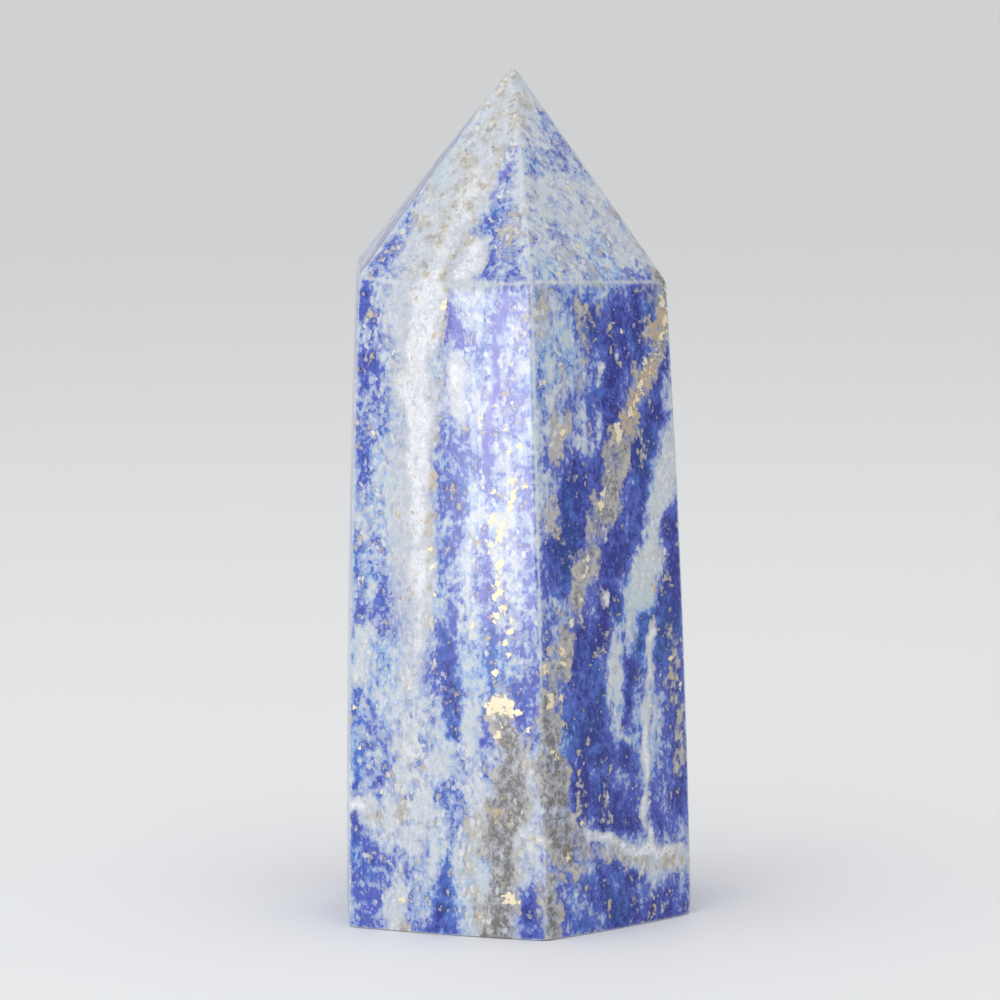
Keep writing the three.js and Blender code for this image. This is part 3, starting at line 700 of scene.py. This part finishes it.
        # The fracture.
        ("calcite", 1.2, (-9.6, 13.2, 0.34), (-4, 12.4, 0.32), (1.4, 12.8, 0.32), (6, 13.6, 0.34),
         (9.9, 13.6, 0.4)),
        ("matrix", 0.5, (3, 12.2, 0.9), (7, 12.6, 0.9)),
        # The point above.
        ("deep", 0.6, (3, 72, 1.5), (0, 80, 1.6), (0, 86, 1.0)),
        ("deep", 0.85, (8, 70, 1.3), (5.4, 76, 1.1), (2.6, 83, 0.9)),
        ("matrix", 0.5, (-2, 74, 1.6), (1, 84, 1.2)),
    ),
}

# Single flecks of pyrite, as (across, height, half width).
FLECKS = {
    FRONT: (
        (5.1, 24.5, 0.9), (6.1, 24.3, 0.8), (4.2, 23.9, 0.5), (7.1, 23.8, 0.4), (3.6, 24.1, 0.3),
        (4.7, 27.8, 0.3), (5.0, 21.5, 0.35), (8.2, 21.8, 0.25), (6.0, 4.3, 0.55), (7.0, 3.9, 0.3),
        (4.4, 43.7, 0.42), (5.6, 43.3, 0.36), (5.4, 42.5, 0.42), (5.2, 41.8, 0.34), (4.2, 40.8, 0.32),
        (5.2, 39.0, 0.44), (5.0, 38.4, 0.36), (4.9, 37.0, 0.34), (5.3, 36.2, 0.36), (4.7, 35.8, 0.34),
        (5.7, 34.4, 0.34), (4.8, 33.6, 0.4), (6.6, 33.4, 0.26), (6.4, 32.2, 0.34), (5.9, 31.0, 0.34),
        (6.2, 29.7, 0.26), (3.2, 54.2, 0.26), (3.2, 53.3, 0.22), (4.8, 55.6, 0.24), (5.8, 53.2, 0.24),
        (6.4, 59.5, 0.24), (6.4, 58.2, 0.24), (6.2, 50.8, 0.26), (7.4, 51.5, 0.26), (6.5, 47.7, 0.34),
        (2.4, 46.8, 0.3), (3.4, 46.9, 0.3), (4.5, 46.5, 0.34), (6.6, 46.2, 0.42), (6.4, 45.0, 0.34),
        (8.0, 47.3, 0.3), (2.0, 39.5, 0.24), (2.2, 32.8, 0.26), (-2.6, 40.4, 0.26), (-2.2, 38.8, 0.26),
        (-1.9, 35.5, 0.28), (-0.9, 65.5, 0.3), (-0.8, 66.3, 0.26), (-8.8, 52.3, 0.28), (-5.9, 3.4, 0.34),
        (-5.3, 12.2, 0.24), (-9.4, 14.5, 0.22), (-8.2, 14.9, 0.22), (-10.8, 19.2, 0.22),
        (-11.3, 23.5, 0.22), (-4.4, 2.0, 0.24), (-7.8, 72.7, 0.22),
    ),
    RIGHT: (
        (0.7, 52.6, 0.45), (0.8, 51.5, 0.42), (-1.6, 46.0, 0.36), (-2.0, 44.5, 0.3), (4.9, 59.2, 0.4),
        (4.2, 57.0, 0.32), (3.4, 55.4, 0.34), (2.6, 54.0, 0.3), (7.8, 65.4, 0.4), (8.1, 63.4, 0.4),
        (7.3, 61.8, 0.36), (2.9, 65.0, 0.24), (1.8, 62.3, 0.22), (-6.7, 52.5, 0.36), (-4.1, 39.4, 0.3),
        (-4.0, 38.4, 0.28), (-4.4, 37.5, 0.24), (-5.0, 35.2, 0.3), (-6.3, 32.8, 0.26),
        (-7.5, 30.0, 0.34), (-7.4, 28.4, 0.32), (-9.8, 28.3, 0.34), (-9.2, 25.4, 0.42),
        (-9.3, 24.4, 0.36), (-8.0, 25.2, 0.3), (-9.0, 19.7, 0.34), (-8.6, 18.8, 0.26),
        (-7.5, 16.3, 0.26), (-7.4, 8.7, 0.34), (-5.6, 12.0, 0.24), (5.0, 35.7, 0.22),
        (4.2, 23.2, 0.26), (6.2, 30.0, 0.28), (7.4, 27.8, 0.26), (8.7, 24.6, 0.26), (-3.0, 13.4, 0.2),
        (-0.2, 77.3, 0.26), (-2.5, 71.4, 0.26), (-6.7, 68.5, 0.3), (-8.6, 58.0, 0.26),
    ),
    BACK: ((-6.4, 15.0, 0.9), (-5.6, 13.8, 0.6), (3.6, 47.0, 0.5), (4.4, 43.6, 0.4), (3.0, 56.0, 0.35)),
    BACK_LEFT: ((3.9, 57.0, 0.5), (3.4, 55.8, 0.4), (1.5, 35.4, 0.6), (2.0, 33.6, 0.4), (1.2, 21.0, 0.4)),
    BACK_RIGHT: ((6.3, 41.0, 0.6), (6.9, 39.4, 0.5), (5.6, 52.6, 0.4), (7.0, 15.4, 0.5)),
    LEFT: ((0.4, 17.2, 0.7), (1.1, 15.6, 0.4), (0.6, 43.6, 0.4), (2.8, 54.0, 0.35)),
}

SOFTEST = 0.9  # mm over which the edge of the broadest body fades either way
# How blue the stone is between its bodies, going round it, from 0 (pale) to 1 (deep). The front's low value
# is partly the stone's paler blue and partly painted sheen and light on that side.
BLUENESS_AND_SHEEN = {LEFT: 0.55, FRONT: 0.38, RIGHT: 0.98, BACK_RIGHT: 0.85, BACK: 0.6, BACK_LEFT: 0.65}
POINT_BLUENESS_WITH_SHEEN = 0.34  # of the facets above the shoulder, kept low so that they are paler: a painted sheen of the bright sky above them
FULL_BLUE = 1.12  # where lazurite is dense
NO_BLUE = 0.05  # where there is none
SHOULDER_BLEND = 2  # mm above the shoulder over which the sides' blue gives way to the point's paler blue with its painted sheen
STREAKED = 0.3  # how much streaks and clouds change the blue
SPRINKLED = 0.52  # how thick pyrite is where it is only sprinkled, against a single fleck
FLECKED = 1.5  # how much pyrite a single fleck has at its middle, of which no more than 1 counts
BRUISE_AND_HIGHLIGHT_PALING = 0.6  # how much of its blue an edge loses, partly to the tiny bruises of wear and partly as a painted highlight
BRUISE_AND_HIGHLIGHT_WHITE = 0.4  # how white the bruises and the painted edge highlight leave it, as an amount of calcite
STIRRING_SEED = 4  # of the noise that stirs the bodies' edges, so that each run gives the same stone
POINT_LENGTH = 1e-9  # squared, to divide by where a path is only one point

# The waves that stir the bodies' edges, and the streaks and clouds in the blue: how wide and tall
# they are in mm, and how far they reach.
Waves = namedtuple("Waves", "width height reach")
BROAD_STIR = Waves(3, 6, 0.9)
FINE_STIR = Waves(1.1, 1.9, 0.6)
STREAKS = Waves(1.5, 8, 1)
CLOUDS = Waves(4, 6, 0.7)
CLOUDS_ASIDE = np.array([36, 0, 0])  # so that the clouds don't follow the streaks


def presence(points, path):
    """How far points are in a mineral body: 1 well inside, 0.5 at its edge and 0 outside."""
    found = np.zeros(len(points))
    for (a, half_a), (b, half_b) in zip(path, path[1:] or path):
        reach = b - a
        t = np.clip((points - a) @ reach / max(reach @ reach, POINT_LENGTH), 0, 1)
        half = half_a + (half_b - half_a) * t
        gap = np.linalg.norm(points - a - np.outer(t, reach), axis=1)
        found = np.maximum(found, np.clip(0.5 + (half - gap) / (2 * np.minimum(half, SOFTEST)), 0, 1))
    return found


def in_waves(point, waves, made_by):
    """What a noise gives at a point, in waves of one size."""
    x, y, z = point
    return made_by((x / waves.width, y / waves.width, z / waves.height)) * waves.reach


def warped(points):
    """The points stirred a little, so that no body of mineral has a ruled edge."""
    noise.seed_set(STIRRING_SEED)
    stir = noise.noise_vector
    return points + np.array([in_waves(p, BROAD_STIR, stir) + in_waves(p, FINE_STIR, stir) for p in points])


def streaks(points):
    """Upright streaks and clouds in the blue, from about -1 to 1."""
    both = zip(points, points + CLOUDS_ASIDE)
    return np.array([in_waves(p, STREAKS, noise.noise) + in_waves(q, CLOUDS, noise.noise) for p, q in both])


def minerals(points, wear_and_highlight):
    """How much of each mineral is at each point of the stone's surface, with painted sheen and a painted
    edge highlight worked into the blue.
    """
    stirred = warped(points)
    kinds = ("deep", "pale", "calcite", "matrix", "pyrite", "violet", "rust")
    found = {kind: np.zeros(len(points)) for kind in kinds}
    for index, bodies in BODIES.items():
        for kind, strength, *stations in bodies:
            path = [(place(index, u, z), half) for u, z, half in stations]
            found[kind] = np.maximum(found[kind], strength * presence(stirred, path))
    found["pyrite"] *= SPRINKLED
    for index, flecks in FLECKS.items():
        for u, z, half in flecks:
            fleck = presence(points, [(place(index, u, z), half)])
            found["pyrite"] = np.maximum(found["pyrite"], np.minimum(FLECKED * fleck, 1))
    azimuths = [side.azimuth for side in SIDES]
    around = np.degrees(np.arctan2(points[:, 0], -points[:, 1]))
    blue = np.interp(around, azimuths, [BLUENESS_AND_SHEEN[index] for index in range(len(SIDES))], period=360)
    # Above the shoulder the blue falls to a paler one, which paints the sky's sheen on the point's facets.
    over_shoulder = np.clip((points[:, 2] - SHOULDER) / SHOULDER_BLEND, 0, 1)
    blue += over_shoulder * (POINT_BLUENESS_WITH_SHEEN - blue) + STREAKED * streaks(points)
    blue += found["deep"] * (FULL_BLUE - blue)
    blue += found["pale"] * (NO_BLUE - blue)
    # Edges lose blue and gain calcite: partly the tiny bruises of wear, partly a painted highlight along
    # each edge.
    found["lazurite"] = blue * (1 - BRUISE_AND_HIGHLIGHT_PALING * wear_and_highlight)
    found["calcite"] = np.maximum(found["calcite"], BRUISE_AND_HIGHLIGHT_WHITE * wear_and_highlight)
    return found


# ---------------------------------------------------------------- materials

# What the stone's points store, three minerals to a field.
FIELDS = {"veins": ("lazurite", "calcite", "matrix"), "traces": ("pyrite", "violet", "rust")}

# The tones of blue from the palest to the deepest, and how much lazurite each takes.
CASTS = (
    ("pale_grey", "sky_blue", "royal_blue", "deep_blue"),
    ("pale_green", "sky_azure", "azure", "deep_azure"),
)
TONES = (0.1, 0.38, 0.68, 1.2)

# The minerals over the blue: the colour each shows, how much noise of each size stirs its amount,
# the amounts at which it starts and is full, and its share there.
Layer = namedtuple("Layer", "mineral colour cloud blotch fine grain low high most")
LAYERS = (
    Layer("violet", "violet", 0.8, 1.0, 0.4, 0.2, 0.2, 0.8, 0.6),
    Layer("calcite", "calcite_shade", 1.1, 0.7, 0.5, 0.15, 0.15, 0.6, 0.95),
    Layer("calcite", "calcite", 1.6, 0.8, 0.3, 0.08, 0.55, 1.15, 1.0),
    Layer("matrix", "matrix", 1.7, 1.3, 0.45, 0.2, 0.24, 0.7, 0.95),
    Layer("rust", "rust", 0.6, 1.6, 0.8, 0.4, 0.3, 0.55, 0.9),
)

# Where one colour gives way to another: the amounts at which the change starts and is full, and
# where it stops short of full, its share there.
TO_AZURE = (-0.02, 0.16)
TO_GREY = (0.44, 0.58)
TO_DARK = (0.64, 0.82)
TO_CREAM = (0.34, 0.42, 0.7)
TO_RUSTY_RIM = (0.28, 0.35, 0.6)
TO_PYRITE = (0.34, 0.38)

# The patterns in the rock: the width of each one's lumps in mm, and how many times as tall they are.
DRIFT = (5.0, 1.8)
CLOUD = (1.9, 1.6)
BLOTCH = (0.8, 1.25)
STREAK = (0.5, 4.0)
FINE = (0.3, 1.1)
FLECK = (0.5, 1.0)

NOISE_DETAIL = 2.0  # finer layers of noise in each pattern
NOISE_MIDDLE = 0.5  # of a noise that runs from 0 to 1
BEND_WAVES = 0.7  # to a grain, in the noise that bends the grains
BEND = 1.4  # grains that it moves them by
ROCK_IOR = 1.5
POLISHED = 0.15  # the roughness that polish leaves
RELIEF = 0.05 * MM  # how far the surface rises and falls between its minerals
RELIEF_STRENGTH = 0.12
ROLLED = 0.7  # the roughness of paint put on with a roller


def add(tree, kind, settings=None, links=None):
    """Adds a node, sets its own settings, and sets or links its inputs by name or number."""
    made = tree.nodes.new(kind)
    for name, value in (settings or {}).items():
        setattr(made, name, value)
    for name, value in (links or {}).items():
        if isinstance(value, bpy.types.NodeSocket):
            tree.links.new(value, made.inputs[name])
        else:
            made.inputs[name].default_value = value
    return made


def new_material(name):
    """An empty node material and its shader."""
    material = bpy.data.materials.new(name)
    material.use_nodes = True
    tree = material.node_tree
    tree.nodes.clear()
    shader = add(tree, "ShaderNodeBsdfPrincipled")
    add(tree, "ShaderNodeOutputMaterial", {}, {0: shader.outputs[0]})
    return material, tree, shader


def mottle(tree, in_mm, size, stretch):
    """Soft lumps from about -0.3 to 0.3, size mm across and stretch times as tall."""
    scale = (1 / size, 1 / size, 1 / (size * stretch))
    links = {0: in_mm, 1: scale}
    at = add(tree, "ShaderNodeVectorMath", {"operation": "MULTIPLY"}, links).outputs[0]
    links = {"Vector": at, "Scale": 1.0, "Detail": NOISE_DETAIL}
    links = {0: add(tree, "ShaderNodeTexNoise", {}, links).outputs[0], 1: NOISE_MIDDLE}
    return add(tree, "ShaderNodeMath", {"operation": "SUBTRACT"}, links).outputs[0]


def grains(tree, in_mm, width, height):
    """Angular grains: three random numbers from -0.5 to 0.5 for each."""
    scale = (1 / width, 1 / width, 1 / height)
    links = {0: in_mm, 1: scale}
    at = add(tree, "ShaderNodeVectorMath", {"operation": "MULTIPLY"}, links).outputs[0]
    bend = add(tree, "ShaderNodeTexNoise", {}, {"Vector": at, "Scale": BEND_WAVES}).outputs["Color"]
    links = {0: bend, 1: (BEND, BEND, BEND), 2: at}
    bent = add(tree, "ShaderNodeVectorMath", {"operation": "MULTIPLY_ADD"}, links).outputs[0]
    cells = add(tree, "ShaderNodeTexVoronoi", {}, {"Vector": bent, "Scale": 1.0}).outputs["Color"]
    links = {0: cells, 1: (NOISE_MIDDLE, NOISE_MIDDLE, NOISE_MIDDLE)}
    centred = add(tree, "ShaderNodeVectorMath", {"operation": "SUBTRACT"}, links).outputs[0]
    return add(tree, "ShaderNodeSeparateXYZ", {}, {0: centred}).outputs


def stirred(tree, amount, *parts):
    """An amount with some of other numbers added: parts are (number, how much of it)."""
    for number, weight in parts:
        links = {0: number, 1: weight, 2: amount}
        amount = add(tree, "ShaderNodeMath", {"operation": "MULTIPLY_ADD"}, links).outputs[0]
    return amount


def laid_over(tree, under, over, amount, low, high, most=1.0):
    """One colour over another: none below the low amount, its most above the high. Its share too."""
    links = {0: amount, 1: low, 2: high, 4: most}
    share = add(tree, "ShaderNodeMapRange", {"interpolation_type": "SMOOTHSTEP"}, links).outputs[0]
    mixed = add(tree, "ShaderNodeMix", {"data_type": "RGBA"}, {0: share, 6: under, 7: over})
    return mixed.outputs[2], share


def lapis_material(sizes, colours):
    """Lapis lazuli, ground and polished.

    A rock of many minerals, so its blue is built of small upright grains, each its own shade,
    with white calcite, grey matrix and brassy pyrite between them. Polish leaves it glossy, with
    the matrix a little duller and the hard pyrite a little proud.
    """
    material, tree, shader = new_material("polished_lapis_lazuli")
    shader.inputs["IOR"].default_value = ROCK_IOR
    tint = {name: (*getattr(colours, name), 1) for name in StoneColours.__annotations__}
    here = add(tree, "ShaderNodeTexCoord").outputs["Object"]
    links = {0: here, "Scale": 1 / MM}
    in_mm = add(tree, "ShaderNodeVectorMath", {"operation": "SCALE"}, links).outputs[0]
    amounts = {}
    for field, kinds in FIELDS.items():
        stored = add(tree, "ShaderNodeAttribute", {"attribute_name": field}).outputs["Vector"]
        amounts.update(zip(kinds, add(tree, "ShaderNodeSeparateXYZ", {}, {0: stored}).outputs))
    lazurite = amounts["lazurite"]

    drift, cloud, blotch, streak, fine, fleck = (
        mottle(tree, in_mm, *pattern) for pattern in (DRIFT, CLOUD, BLOTCH, STREAK, FINE, FLECK)
    )
    first, second, third = grains(tree, in_mm, sizes.grain_width / MM, sizes.grain_height / MM)

    # Blue, from pale grey to the deepest, in a violet and in an azure cast.
    depth = stirred(
        tree, lazurite, (cloud, 1.3), (blotch, 1.2), (streak, 0.4), (fine, 0.8), (first, 0.28)
    )
    casts = []
    for pale, *darker in CASTS:
        tone = tint[pale]
        for name, low, high in zip(darker, TONES, TONES[1:]):
            tone, _ = laid_over(tree, tone, tint[name], depth, low, high)
        casts.append(tone)
    azure = stirred(tree, drift, (blotch, 0.5), (second, 0.12))
    colour, _ = laid_over(tree, *casts, azure, *TO_AZURE)

    # The other minerals, each over those before it. Matrix is darkest where there is most of it.
    mottled = stirred(tree, blotch, (fine, 1.0), (third, 0.25), (amounts["matrix"], 0.8))
    grey, _ = laid_over(tree, tint["matrix_grey"], tint["matrix_dark"], mottled, *TO_DARK)
    grey, _ = laid_over(tree, tint["matrix_light"], grey, mottled, *TO_GREY)
    shades = {**tint, "matrix": grey}
    shares = {}
    for layer in LAYERS:
        amount = stirred(
            tree, amounts[layer.mineral], (cloud, layer.cloud), (blotch, layer.blotch),
            (fine, layer.fine), (second, layer.grain),
        )
        limits = (layer.low, layer.high, layer.most)
        colour, shares[layer.colour] = laid_over(tree, colour, shades[layer.colour], amount, *limits)

    # Cream grains where the stone is pale, and every grain a little lighter or darker than the next.
    creamy = stirred(tree, third, (cloud, 0.8), (lazurite, -0.25))
    colour, _ = laid_over(tree, colour, tint["cream"], creamy, *TO_CREAM)
    shade = stirred(tree, 1.0, (second, 0.16), (fine, 0.5))
    links = {0: colour, "Scale": shade}
    colour = add(tree, "ShaderNodeVectorMath", {"operation": "SCALE"}, links).outputs[0]

    # Pyrite, in ragged flecks with a rusty rim, that crowd together where it is dense.
    brassy_amount = stirred(tree, fleck, (amounts["pyrite"], 0.55), (fine, 0.3))
    colour, _ = laid_over(tree, colour, tint["rust"], brassy_amount, *TO_RUSTY_RIM)
    colour, brassy = laid_over(tree, colour, tint["pyrite"], brassy_amount, *TO_PYRITE)
    tree.links.new(colour, shader.inputs["Base Color"])
    tree.links.new(stirred(tree, 0.0, (brassy, 0.4)), shader.inputs["Metallic"])

    # Pyrite and matrix are rougher than the polished blue, pyrite stands proud and matrix sinks.
    roughness = stirred(tree, POLISHED, (shares["matrix"], 0.1), (brassy, 0.33), (blotch, 0.12))
    tree.links.new(roughness, shader.inputs["Roughness"])
    height = stirred(tree, 0.0, (fine, 0.5), (brassy, 0.6), (shares["matrix"], -0.3))
    links = {"Height": height, "Strength": RELIEF_STRENGTH, "Distance": RELIEF}
    tree.links.new(add(tree, "ShaderNodeBump", {}, links).outputs[0], shader.inputs["Normal"])
    return material


def floor_material(colour):
    """Pale painted board, rolled matt: even and almost without shine."""
    material, _, shader = new_material("matt_painted_board")
    shader.inputs["Base Color"].default_value = (*colour, 1)
    shader.inputs["Roughness"].default_value = ROLLED
    return material


# ---------------------------------------------------------------- operators

# The floor's flat part and the sweep up at its rim, in mm, and the points round it and up it.
FLOOR_RADIUS = 2000.0
FLOOR_SWEEP = 1000.0
FLOOR_POINTS = 96
SWEEP_STEPS = 24

# The soft lights: the setting with its watts, its width and height, where it stands and where it
# faces, in metres. The window's is placed by its direction from the stone.
WINDOW_AZIMUTH = math.radians(-11)
WINDOW_DISTANCE = 0.4
WINDOW_HEIGHT = 0.055
WINDOW_AT = (
    WINDOW_DISTANCE * math.sin(WINDOW_AZIMUTH), -WINDOW_DISTANCE * math.cos(WINDOW_AZIMUTH),
    WINDOW_HEIGHT,
)
Light = namedtuple("Light", "name watts width height at target")
LIGHTS = (
    Light("low_window", "window_light", 0.13, 0.11, WINDOW_AT, (0, 0, WINDOW_HEIGHT)),
    Light("side", "side_light", 0.5, 0.5, (-0.58, -0.48, 0.36), (0, 0, 0.04)),
    Light("overhead", "overhead_light", 0.8, 0.8, (0.1, -0.25, 0.9), (0, 0, 0.04)),
)

CAMERA_AIM = (-1.09, -0.34, 43.8)  # mm, the point it looks at
NEAREST_SEEN = 0.01  # metres from the camera


def mesh_object(name, points, faces):
    """A mesh object of points in millimetres."""
    mesh = bpy.data.meshes.new(name)
    mesh.from_pydata((np.asarray(points) * MM).tolist(), [], faces)
    mesh.validate()
    mesh.update()
    made = bpy.data.objects.new(name, mesh)
    bpy.context.scene.collection.objects.link(made)
    return made


def closed_faces(count, rows, rings):
    """Faces over columns of points, then rings of points under the base, and a tip and a middle."""
    faces = []
    under = count * rows
    tip = under + count * rings
    for c in range(count):
        here, after = c * rows, (c + 1) % count * rows
        faces += [(here + r, after + r, after + r + 1, here + r + 1) for r in range(rows - 1)]
        faces.append((here + rows - 1, after + rows - 1, tip))
        rim = [here, *(under + k * count + c for k in range(rings))]
        next_rim = [after, *(under + k * count + (c + 1) % count for k in range(rings))]
        faces += [(rim[k], rim[k + 1], next_rim[k + 1], next_rim[k]) for k in range(rings)]
        faces.append((rim[-1], tip + 1, next_rim[-1]))
    return faces


class LAPIS_OT_grind_tower(Operator):
    """Makes the ground and polished stone, with its minerals"""

    bl_idname = "lapis.grind_tower"
    bl_label = "Grind the tower"

    def execute(self, context):
        sizes = context.scene.lapis_sizes
        surface, middle, wear_and_highlight = worn_surface(sizes)
        count, rows, _ = surface.shape
        rim = surface[:, 0] * LEVEL
        centre = rim.mean(axis=0)
        rings = [centre + (rim - centre) * (1 - k / BASE_RINGS) for k in range(1, BASE_RINGS)]
        top = surface[:, -1].mean(axis=0)
        points = np.vstack([surface.reshape(-1, 3), *rings, top, centre])
        scale = sizes.height / (HEIGHT * MM)
        tower = mesh_object(
            "polished_stone", (points - middle) * scale, closed_faces(count, rows, len(rings))
        )
        tower.data.shade_smooth()
        no_wear_or_highlight = np.zeros(len(points) - len(wear_and_highlight))
        found = minerals(points, np.concatenate([wear_and_highlight, no_wear_or_highlight]))
        for field, kinds in FIELDS.items():
            layer = tower.data.attributes.new(field, "FLOAT_VECTOR", "POINT")
            layer.data.foreach_set("vector", np.column_stack([found[k] for k in kinds]).ravel())
        tower.data.materials.append(lapis_material(sizes, context.scene.lapis_colours))
        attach(tower, "root")
        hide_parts(CAD_NODE)
        return {"FINISHED"}


def hang(light, watts):
    """Hangs a soft rectangular light, which the camera doesn't see."""
    lamp = bpy.data.lights.new(light.name, "AREA")
    lamp.shape = "RECTANGLE"
    lamp.size, lamp.size_y = light.width, light.height
    lamp.energy = watts
    made = bpy.data.objects.new(light.name, lamp)
    made.visible_camera = False
    facing = (Vector(light.target) - Vector(light.at)).to_track_quat("-Z", "Y")
    made.matrix_world = Matrix.Translation(light.at) @ facing.to_matrix().to_4x4()
    bpy.context.scene.collection.objects.link(made)


class LAPIS_OT_set_stage(Operator):
    """Lays the pale floor, and sets the soft lights and the camera"""

    bl_idname = "lapis.set_stage"
    bl_label = "Set the stage"

    def execute(self, context):
        settings = context.scene.lapis_stage
        self.lay_floor(settings)
        self.light_room(context.scene, settings)
        self.set_camera(context.scene, settings)
        return {"FINISHED"}

    def lay_floor(self, settings):
        """A round floor that sweeps up at its far rim, so that no horizon shows behind the stone."""
        angles = [2 * math.pi * k / FLOOR_POINTS for k in range(FLOOR_POINTS)]
        points = []
        for step in range(SWEEP_STEPS + 1):
            turn = math.pi / 2 * step / SWEEP_STEPS
            radius = FLOOR_RADIUS + FLOOR_SWEEP * math.sin(turn)
            up = FLOOR_SWEEP * (1 - math.cos(turn))
            points += [(radius * math.cos(a), radius * math.sin(a), up) for a in angles]
        faces = [tuple(range(FLOOR_POINTS))]
        for here in range(SWEEP_STEPS * FLOOR_POINTS):
            after = here + 1 if (here + 1) % FLOOR_POINTS else here + 1 - FLOOR_POINTS
            faces.append((here, here + FLOOR_POINTS, after + FLOOR_POINTS, after))
        floor = mesh_object("floor", points, faces)
        floor.data.shade_smooth()
        floor.data.polygons[0].use_smooth = False
        floor.data.materials.append(floor_material(settings.floor))

    def light_room(self, scene, settings):
        """The room's even light, and the soft lights in it."""
        world = bpy.data.worlds.new("pale_room")
        world.use_nodes = True
        background = world.node_tree.nodes["Background"]
        background.inputs["Color"].default_value = (*settings.room, 1)
        background.inputs["Strength"].default_value = settings.room_light
        scene.world = world
        for light in LIGHTS:
            hang(light, getattr(settings, light.watts))

    def set_camera(self, scene, settings):
        """The camera, turned to look at its aim from its azimuth and elevation, and leaning."""
        a, e, r = settings.azimuth, settings.elevation, -settings.roll
        back = Vector((math.sin(a) * math.cos(e), -math.cos(a) * math.cos(e), math.sin(e)))
        right = Vector((math.cos(a), math.sin(a), 0))
        up = back.cross(right)
        x_axis = right * math.cos(r) + up * math.sin(r)
        y_axis = up * math.cos(r) - right * math.sin(r)
        turn = Matrix((x_axis, y_axis, back)).transposed().to_4x4()
        lens = bpy.data.cameras.new("camera")
        lens.lens = settings.lens
        lens.sensor_width = FRAME_WIDTH
        lens.clip_start = NEAREST_SEEN
        camera = bpy.data.objects.new("camera", lens)
        at = Vector(CAMERA_AIM) * MM + back * settings.distance
        camera.matrix_world = Matrix.Translation(at) @ turn
        scene.collection.objects.link(camera)
        scene.camera = camera


class LAPIS_PT_panel(Panel):
    """Lists the steps, and the sizes and colours that they use"""

    bl_label = "Lapis Lazuli Tower"
    bl_idname = "LAPIS_PT_panel"
    bl_space_type = "VIEW_3D"
    bl_region_type = "UI"
    bl_category = "Lapis"

    def draw(self, context):
        for operator in OPERATORS:
            self.layout.operator(operator.bl_idname)
        for group_name in GROUPS:
            group = getattr(context.scene, group_name)
            box = self.layout.box()
            for name in group.__annotations__:
                box.prop(group, name)


OPERATORS = (LAPIS_OT_set_stage, LAPIS_OT_grind_tower)
GROUPS = {"lapis_sizes": StoneSizes, "lapis_colours": StoneColours, "lapis_stage": StageSettings}
CLASSES = (*GROUPS.values(), *OPERATORS, LAPIS_PT_panel)


def register():
    for cls in CLASSES:
        bpy.utils.register_class(cls)
    for name, group in GROUPS.items():
        setattr(bpy.types.Scene, name, PointerProperty(type=group))


def unregister():
    for name in GROUPS:
        delattr(bpy.types.Scene, name)
    for cls in reversed(CLASSES):
        bpy.utils.unregister_class(cls)


def main():
    """Makes the whole scene."""
    register()
    bpy.context.scene.view_settings.view_transform = "Standard"
    bpy.ops.lapis.set_stage()
    bpy.ops.lapis.grind_tower()


if __name__ == "__main__":
    main()
